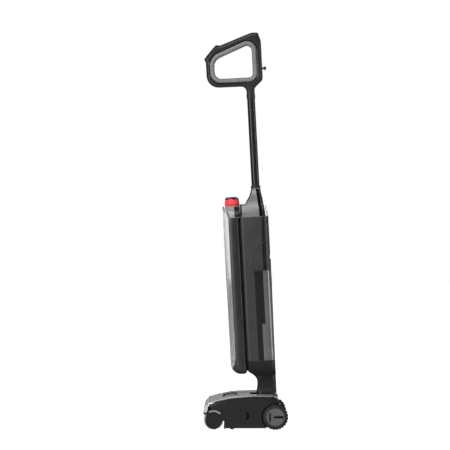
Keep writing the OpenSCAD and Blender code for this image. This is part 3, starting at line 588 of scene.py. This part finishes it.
def roller_ring(x, radius):
    """A ring round the roller's axis, its radius a function of x and the angle."""
    ring = []
    for k in range(AROUND):
        a = 2 * math.pi * k / AROUND
        r = radius(x, a)
        ring.append(at(x, ROLLER[0] + r * math.cos(a), ROLLER[1] + r * math.sin(a)))
    return ring


def pile_foot(x, a):
    return PILE_FOOT


bm = bmesh.new()
rings = [roller_ring(-NAP_HALF + 2 * NAP_HALF * i / ACROSS, nap_radius) for i in range(ACROSS + 1)]
skin(bm, [roller_ring(-103.6, pile_foot)] + rings + [roller_ring(103.6, pile_foot)])
piece("roller_nap", bm, "nap", "roller", replaces=("roller_sleeve",))

# ---- Body trims ----

STRIP = [(-17.4, 107.8), (-3.0, 107.8), (-3.0, 209.8, 1), (6.0, 209.8, 1), (6.0, 355.6),
         (-17.4, 355.6)]
STRIP_EDGE = [(0, 55.8), (0, 56.05), (-0.25, 56.3), (-0.9, 56.4)]
for side, tag in SIDES:
    bm = bmesh.new()
    rings = [ring_of(rounded(grown(STRIP, d), 3), side * x) for d, x in STRIP_EDGE]
    skin(bm, rings, cap_end=True)
    piece(f"{tag}_strip", bm, "strip", "upright")

# Seals on the front of the body, which the tank's back closes against
SEAL_HALF = 41
SEAL_EDGE = ((0, -46.8), (0, -49.6), (-0.5, -50.1))
for name, low, high in (("foot_seal", 79.5, 111), ("head_seal", 501, 513)):
    bm = bmesh.new()
    ring = box(-SEAL_HALF, low, SEAL_HALF, high, 5)
    rings = [[up(p.x, v, p.y) for p in rounded(grown(ring, d))] for d, v in SEAL_EDGE]
    skin(bm, rings, cap_end=True)
    piece(name, bm, "rubber", "upright")

# ---- Conformal bands: thin dark strips of painted shade that follow the body's curved side where its corners turn away from the light ----

BODY_HALF = 56
BODY_FRONT, FRONT_CORNER = -47.3, 7
BODY_REAR, REAR_CORNER = 31.4, 25


def round_corner(half, past, radius):
    """Half width where the side has run past the start of a corner of that radius."""
    return half if past <= 0 else half - radius + math.sqrt(max(0, radius ** 2 - past ** 2))


def body_x(v, w):
    """Half width of the body at depth v, round its front and rear corners, at any height."""
    return min(round_corner(BODY_HALF, BODY_FRONT + FRONT_CORNER - v, FRONT_CORNER),
               round_corner(BODY_HALF, v - BODY_REAR + REAR_CORNER, REAR_CORNER))


def along(line, w):
    """Value at w of a line of (value, w) points, in order of w."""
    for (a, wa), (b, wb) in zip(line, line[1:]):
        if w <= wb:
            return a + (b - a) * max(0, w - wa) / (wb - wa)
    return line[-1][0]


SHOULDER_SIDE = [(56, 507), (54.5, 520), (49, 536), (40, 550), (30, 562), (22, 573), (18, 582),
                 (17, 587)]


def shoulder_x(v, w):
    return min(body_x(v, w), along(SHOULDER_SIDE, w))


BAND_PROUD, BAND_DEPTH = 0.3, 0.8


def band(name, look, body, w_range, v_from, v_to, surface, rows=40, columns=8):
    """A strip of painted shade on both sides of the body, between two lines of (v, w) points."""
    for side, tag in SIDES:
        bm = bmesh.new()
        grid = []
        for i in range(rows + 1):
            w = w_range[0] + (w_range[1] - w_range[0]) * i / rows
            start, end = along(v_from, w), along(v_to, w)
            row = []
            for j in range(columns + 1):
                f = j / columns
                v = start + (end - start) * f
                from_rim = min(f, 1 - f, i / rows * 4, (1 - i / rows) * 4)
                lift = BAND_PROUD * min(1, 0.25 + from_rim * 6)
                row.append(up(side * (surface(v, w) + lift), v, w))
            grid.append(row)
        open_skin(bm, grid)
        solidify(piece(f"{tag}_{name}", bm, look, body), BAND_DEPTH)


def upright_line(v):
    """A line at one depth."""
    return [(v, 0), (v, 1000)]


def shifted(line, dv):
    return [(v + dv, w) for v, w in line]


CORE_FRONT = [(5.7, 507), (5.0, 531), (2.6, 553), (0.6, 575), (-0.4, 587)]
CORE_REAR = [(14.0, 507), (12.6, 531), (9.8, 553), (8.0, 575), (7.0, 587)]
BAND_REAR = [(22.2, 507), (19.4, 536), (14.6, 564), (11.4, 587)]
SHOULDER_NOSE = [(-32.5, 543.8), (-29, 549.5), (-26, 555.2), (-18.7, 566), (-13.6, 582.6),
                 (-12.8, 587)]
SHOULDER = (508, 585.5)
SHELL_FRONT = [(7.514, 436.2), (12.428, 506.4)]
BODY_BAND_FRONT, BODY_BAND_REAR = upright_line(7.5), upright_line(20.5)
# Painted shade: a darkest core and a band on the shoulder's rear corner, its front corner, nose and
# ledge, and the rear corners of the shell and battery
band("shoulder_painted_shade_core", "shadow", "upright", SHOULDER, CORE_FRONT, CORE_REAR, shoulder_x)
band("shoulder_painted_shade", "strip", "upright", SHOULDER, CORE_REAR, BAND_REAR, shoulder_x)
band("shoulder_edge_painted_shade", "strip", "upright", (545, 585.5), shifted(SHOULDER_NOSE, 0.3),
     shifted(SHOULDER_NOSE, 3.6), shoulder_x, columns=4)
band("shoulder_ledge_painted_shade", "strip", "upright", (540, 543.2), upright_line(-41.5),
     upright_line(-30.5), shoulder_x, rows=6)
band("shoulder_corner_painted_shade", "strip", "upright", (508, 543.2), upright_line(-46.9),
     upright_line(-42.2), shoulder_x)
band("shell_painted_shade", "strip", "upright", (436.2, 506.4), SHELL_FRONT, BODY_BAND_REAR, body_x)
band("battery_painted_shade", "strip", "battery", (358.5, 433.4), BODY_BAND_FRONT, BODY_BAND_REAR,
     body_x)

LID_SIDE = [(53.4, 507), (52.5, 516), (47, 526), (39, 534), (35, 539.5)]
LID_HALF, LID_REAR, LID_CORNER = 55, -47, 13


def lid_x(v, w):
    """Half width of the lid at depth v and height w, round its rear corner."""
    return min(round_corner(LID_HALF, v - LID_REAR + LID_CORNER, LID_CORNER),
               along(LID_SIDE, w))


# Painted shade on the lid's rounded rear corner
band("lid_painted_shade", "strip", "lid", (508, 538.5), upright_line(-63.5), upright_line(-49), lid_x,
     rows=20)

# ---- Dirty water tank: one lofted form, split into a clear front window and a dark body ----

TANK_FRONT, TANK_REAR, TANK_FOOT, TANK_TOP = -95.6, -50.4, 72, 506.6
FOOT_SIDE, FOOT_FRONT, FOOT_REAR = 16, 28, 9
CORNER_FRONT, CORNER_REAR = 30, 14
TANK_WALL = 2.2
WINDOW_EDGE = [(-95, 72), (-94, 85), (-87.6, 96), (-82.4, 110), (-80.6, 124), (-80.6, 600)]


def cap_outline(half, front, rear, r_front, r_rear):
    """A plan outline whose front corners have another radius than its rear ones."""
    return [(-half, front, r_front), (half, front, r_front), (half, rear, r_rear),
            (-half, rear, r_rear)]


def quarter_inset(w, radius):
    """How far a foot of that radius has drawn in at height w."""
    past = radius - (w - TANK_FOOT)
    return radius - math.sqrt(max(0, radius ** 2 - past ** 2)) if past > 0 else 0


def tank_outline(w, grow=0.0):
    """Closed plan outline of the tank at height w, as (x, v) points."""
    half = BODY_HALF - quarter_inset(w, FOOT_SIDE) + grow
    front = TANK_FRONT + quarter_inset(w, FOOT_FRONT) - grow
    rear = TANK_REAR - quarter_inset(w, FOOT_REAR) + grow
    deep = rear - front
    r_front = min(CORNER_FRONT, deep * 0.62)
    r_rear = min(CORNER_REAR, deep * 0.36)
    return rounded(cap_outline(half, front, rear, r_front, r_rear), 16)


def split_outline(w, grow, front_count, rear_count):
    """The outline in two open runs, in front of and behind the window's edge."""
    points = tank_outline(w, grow)
    edge = max(along(WINDOW_EDGE, w), min(p.y for p in points) + 0.4)
    crossings = []
    for i, p in enumerate(points):
        q = points[(i + 1) % len(points)]
        if (p.y - edge) * (q.y - edge) < 0:
            f = (edge - p.y) / (q.y - p.y)
            crossings.append((i, p.lerp(q, f)))
    (i0, a), (i1, b) = crossings
    middle = [a] + points[i0 + 1:i1 + 1] + [b]
    outer = [b] + points[i1 + 1:] + points[:i0 + 1] + [a]
    front, rear = (middle, outer) if middle[1].y < edge else (outer, middle)
    if front[0].x > front[-1].x:
        front = front[::-1]
    if rear[0].x > rear[-1].x:
        rear = rear[::-1]
    return resample(front, front_count), resample(rear, rear_count)


def resample(points, count):
    """The same open run as count equal steps."""
    lengths = [0.0]
    for p, q in zip(points, points[1:]):
        lengths.append(lengths[-1] + (q - p).length)
    out = []
    k = 0
    for i in range(count + 1):
        goal = lengths[-1] * i / count
        while k < len(points) - 2 and lengths[k + 1] < goal:
            k += 1
        span = lengths[k + 1] - lengths[k]
        out.append(points[k].lerp(points[k + 1], (goal - lengths[k]) / span if span else 0))
    return out


HEIGHTS = [72.3, 73, 74, 75.5, 77.5, 80, 83, 86, 90, 94, 98, 102, 106, 112, 118, 124]
HEIGHTS += [124 + (TANK_TOP - 124) * k / 18 for k in range(1, 19)]
FRONT_N, REAR_N = 48, 72
runs = [split_outline(w, 0, FRONT_N, REAR_N) for w in HEIGHTS]
bm = bmesh.new()
grid = open_skin(bm, [[up(p.x, p.y, w) for p in rear] for (_, rear), w in zip(runs, HEIGHTS)])
front_rim = [bm.verts.new(up(p.x, p.y, HEIGHTS[0])) for p in runs[0][0]][1:-1]
bm.faces.new(grid[0] + front_rim[::-1])
thicken(piece("tank_body", bm, "tank", "dirty_tank", replaces=("dirty_tank_body",)), TANK_WALL)

# The window runs on past the lid line as a lip in front of the lid
LIP_HALF = [(56, 506.6), (54.9, 514), (52.7, 518), (47.2, 526), (39.2, 534), (34, 540)]
LIP_EDGE = [(-80.6, 506.6), (-81.4, 514), (-83.2, 520), (-86.4, 526), (-90.4, 536), (-92, 541)]
bm = bmesh.new()
rows = [[up(p.x, p.y, w) for p in front] for (front, _), w in zip(runs, HEIGHTS)]
for w in (510, 514, 518, 522, 526, 530, 534, 537, 540):
    half = along(LIP_HALF, w)
    edge = along(LIP_EDGE, w)
    front = [p for p in tank_outline(w) if p.y < edge + 0.01 and abs(p.x) < half]
    front.sort(key=lambda p: p.x)
    run = [Vector((-half, edge))] + front + [Vector((half, edge))]
    rows.append([up(p.x, p.y, w) for p in resample(run, FRONT_N)])
open_skin(bm, rows)
thicken(piece("tank_window", bm, "clear", "dirty_tank", replaces=("dirty_tank_window",)),
        TANK_WALL)

# Level marks moulded on the window: one long line over two short ones
MARK_HALF_HEIGHT, MARK_PROUD, MARK_DEPTH = 0.7, 0.25, 0.3
bm = bmesh.new()
for w, half in ((452, 34), (440, 9), (428, 9)):
    front, _ = split_outline(w, MARK_PROUD, FRONT_N, REAR_N)
    run = [p for p in front if abs(p.x) < half]
    open_skin(bm, [[up(p.x, p.y, w + dw) for p in run]
                   for dw in (-MARK_HALF_HEIGHT, MARK_HALF_HEIGHT)])
thicken(piece("level_marks", bm, "strip", "dirty_tank"), MARK_DEPTH)

# ---- Lid and filter cap ----

def plan_ring(outline, w):
    return [up(p.x, p.y, w) for p in rounded(outline)]


CAP_BASE = cap_outline(34.3, -88.6, -48, 19, 18)
CAP = [(-5, 540.2), (0.0, 540.2), (0.35, 540.8), (0.3, 547), (-0.2, 551), (-1.1, 555),
       (-1.7, 558.8), (-3.5, 559.2)]
RIBS, RIB_FIRST, RIB_PITCH = 14, -80, 1.9
RIB_ENDS = ((34.4, 542.5), (33.0, 556))
RIB_SECTION = ((-0.45, -0.3), (-0.25, 0.45), (0.25, 0.45), (0.45, -0.3))
bm = bmesh.new()
skin(bm, [plan_ring(grown(CAP_BASE, d), w) for d, w in CAP])
for i in range(RIBS):
    v = RIB_FIRST + i * RIB_PITCH
    for side, _ in SIDES:
        rings = [[up(side * (x + dx), v + dv, w) for dv, dx in RIB_SECTION] for x, w in RIB_ENDS]
        skin(bm, rings, cap_start=True, cap_end=True)
piece("cap_body", bm, "red", "filter_cover", replaces=("filter_cap",))

CAP_RIM = [(-3.5, 558.6), (-1.0, 558.6), (-0.6, 559.0), (-0.5, 561.4), (-1.0, 562.0),
           (-5.2, 562.0)]
CAP_MOUTH = cap_outline(24.4, -84.8, -53.2, 11.4, 8.4)
bm = bmesh.new()
rings = [plan_ring(grown(CAP_BASE, d), w) for d, w in CAP_RIM]
rings += [plan_ring(CAP_MOUTH, w) for w in (561.7, 557)]
skin(bm, rings)
piece("cap_rim", bm, "gloss", "filter_cover")

# ---- Floor head details ----

def side_plate(name, look, body, outline, x, height, side=1, steps=8, soften=0.3):
    """A thin raised or inlaid shape on a side face, outline as (y, z, radius)."""
    bm = bmesh.new()
    profile = [(0, x), (0, x + height - soften * 0.5), (-soften, x + height)]
    skin(bm, [ring_of(rounded(grown(outline, d), steps), side * h, at) for d, h in profile],
         cap_end=True)
    piece(name, bm, look, body)


def crescent(centre, outer, inner, shift, first, last, n=20):
    """Points of a crescent between two arcs, the inner one about a shifted centre."""
    out = []
    for k in range(n + 1):
        a = math.radians(first + (last - first) * k / n)
        out.append((centre[0] + outer * math.cos(a), centre[1] + outer * math.sin(a)))
    for k in range(n, -1, -1):
        a = math.radians(first + (last - first) * k / n)
        out.append((centre[0] + shift[0] + inner * math.cos(a),
                    centre[1] + shift[1] + inner * math.sin(a)))
    return out


# Dark sheets of painted shade inside the well that the neck tips back into
WELL_SHADE_OUTLINE = [(13.2, 66.5), (89, 63), (89.5, 74), (86.5, 83.5), (78.5, 89.6), (69.8, 91.6),
          (13.2, 91.4)]
for side, tag in SIDES:
    side_plate(f"{tag}_well_lining", "shadow", "floor_head", WELL_SHADE_OUTLINE, 40.55, 0.4, side,
               soften=0.05)
FRONT_SHADE_OUTLINE = ((13.05, 91.2), (13.5, 91.2), (13.5, 66.5), (13.05, 66.5))
bm = bmesh.new()
skin(bm, [[at(x, y, z) for y, z in FRONT_SHADE_OUTLINE] for x in (-40.5, 40.5)], cap_start=True,
     cap_end=True)
piece("front_well_lining", bm, "shadow", "floor_head", smooth=False)

# A curved lip over the roller's end disc, coloured light grey as a painted highlight along its top
side_plate("cap_lip_highlight", "grey", "roller_carrier",
           crescent(ROLLER, 28.4, 24.0, (0, 0), 44, 118), 123.4, 0.5, soften=0.15)
side_plate("cap_disc_ring", "strip", "roller_carrier",
           crescent(ROLLER, 21.6, 19.4, (0, 0), 0, 359.9, 72), 123.4, 0.35, soften=0.1)
HUB_SLOTS = (("level", box(77, 32.8, 103, 39.2, 1)), ("upright", box(64, 24, 68.5, 48, 1)))
for side, tag in SIDES:
    # Painted shade: a dark crescent laid in the side cover's finger notch
    side_plate(f"{tag}_finger_notch_shade", "shadow", "floor_head",
               crescent((-4, 39), 12.5, 11.4, (-5.5, 0), -54, 54), 121.6, 2.25, side)
    # Painted shade: dark plates laid in the hub's slots
    for name, outline in HUB_SLOTS:
        side_plate(f"{tag}_hub_slot_shade_{name}", "shadow", f"wheel_{tag}", outline, 126.7, 0.9,
                   side, 4, soften=0.1)

# ---- Studio ----

FLOOR_HALF = 14


def area_light(name, place, target, size, power):
    """A rectangular light of that size in metres, turned to face the target."""
    data = bpy.data.lights.new(name, "AREA")
    data.shape = "RECTANGLE"
    data.size, data.size_y = size
    data.energy = power
    o = place_object(name, data)
    o.location = place
    o.rotation_euler = (Vector(target) - Vector(place)).to_track_quat("-Z", "Y").to_euler()


def pale_floor():
    """White sweep: bright to the camera, and soft to everything else."""
    mesh = bpy.data.meshes.new("floor")
    corners = [(x, y, 0) for x, y, _ in centred_box(FLOOR_HALF, FLOOR_HALF, 0)]
    mesh.from_pydata(corners, [], [(0, 1, 2, 3)])
    o = place_object("floor", mesh)
    m = bpy.data.materials.new("pale floor")
    m.use_nodes = True
    nt = m.node_tree
    p = nt.nodes["Principled BSDF"]
    p.inputs["Base Color"].default_value = (0.85, 0.85, 0.85, 1)
    p.inputs["Roughness"].default_value = 0.7
    p.inputs["Emission Color"].default_value = (1, 1, 1, 1)
    path = nt.nodes.new("ShaderNodeLightPath")
    level = nt.nodes.new("ShaderNodeMapRange")
    level.inputs["To Min"].default_value = 0.05
    level.inputs["To Max"].default_value = 1.0
    nt.links.new(path.outputs["Is Camera Ray"], level.inputs["Value"])
    nt.links.new(level.outputs["Result"], p.inputs["Emission Strength"])
    o.data.materials.append(m)


def studio_world(behind=0.30, front=0.10):
    """White to the camera. Surfaces see a pale backdrop on the far side and a dim room."""
    world = bpy.data.worlds.new("studio")
    bpy.context.scene.world = world
    world.use_nodes = True
    nt = world.node_tree
    seen = nt.nodes["Background"]
    seen.inputs["Color"].default_value = (1, 1, 1, 1)
    room = nt.nodes.new("ShaderNodeBackground")
    side = nt.nodes.new("ShaderNodeSeparateXYZ")
    coords = nt.nodes.new("ShaderNodeTexCoord")
    nt.links.new(coords.outputs["Generated"], side.inputs["Vector"])
    level = nt.nodes.new("ShaderNodeMapRange")
    level.interpolation_type = "SMOOTHSTEP"
    level.inputs["From Min"].default_value = -0.8
    level.inputs["From Max"].default_value = 0.1
    level.inputs["To Min"].default_value = behind
    level.inputs["To Max"].default_value = front
    nt.links.new(side.outputs["X"], level.inputs["Value"])
    nt.links.new(level.outputs["Result"], room.inputs["Strength"])
    path = nt.nodes.new("ShaderNodeLightPath")
    direct = nt.nodes.new("ShaderNodeMath")
    direct.operation = "MAXIMUM"
    nt.links.new(path.outputs["Is Camera Ray"], direct.inputs[0])
    nt.links.new(path.outputs["Is Transmission Ray"], direct.inputs[1])
    mix = nt.nodes.new("ShaderNodeMixShader")
    nt.links.new(direct.outputs["Value"], mix.inputs["Fac"])
    nt.links.new(room.outputs["Background"], mix.inputs[1])
    nt.links.new(seen.outputs["Background"], mix.inputs[2])
    nt.links.new(mix.outputs["Shader"], nt.nodes["World Output"].inputs["Surface"])


pale_floor()
studio_world()
area_light("key", (3.4, -3.0, 1.5), (0, 0, 0.5), (1.2, 2.2), 150)
area_light("front", (5.2, 0.4, 2.2), (0, 0, 0.5), (1.2, 1.2), 9)
area_light("rim", (0.9, 4.2, 0.9), (0, 0, 0.5), (0.7, 2.4), 70)
area_light("top", (1.9, -0.5, 3.0), (0, 0, 0.3), (1.5, 1.5), 75)

# The camera looks level at the right side, from far off
lens = bpy.data.cameras.new("camera")
lens.sensor_width = 36
lens.lens = 174.3
cam = place_object("camera", lens)
cam.location = (6.1, -0.0572, 0.5631)
cam.rotation_euler = (math.radians(90), 0, math.radians(90))
bpy.context.scene.camera = cam
bpy.context.scene.view_settings.view_transform = "Standard"
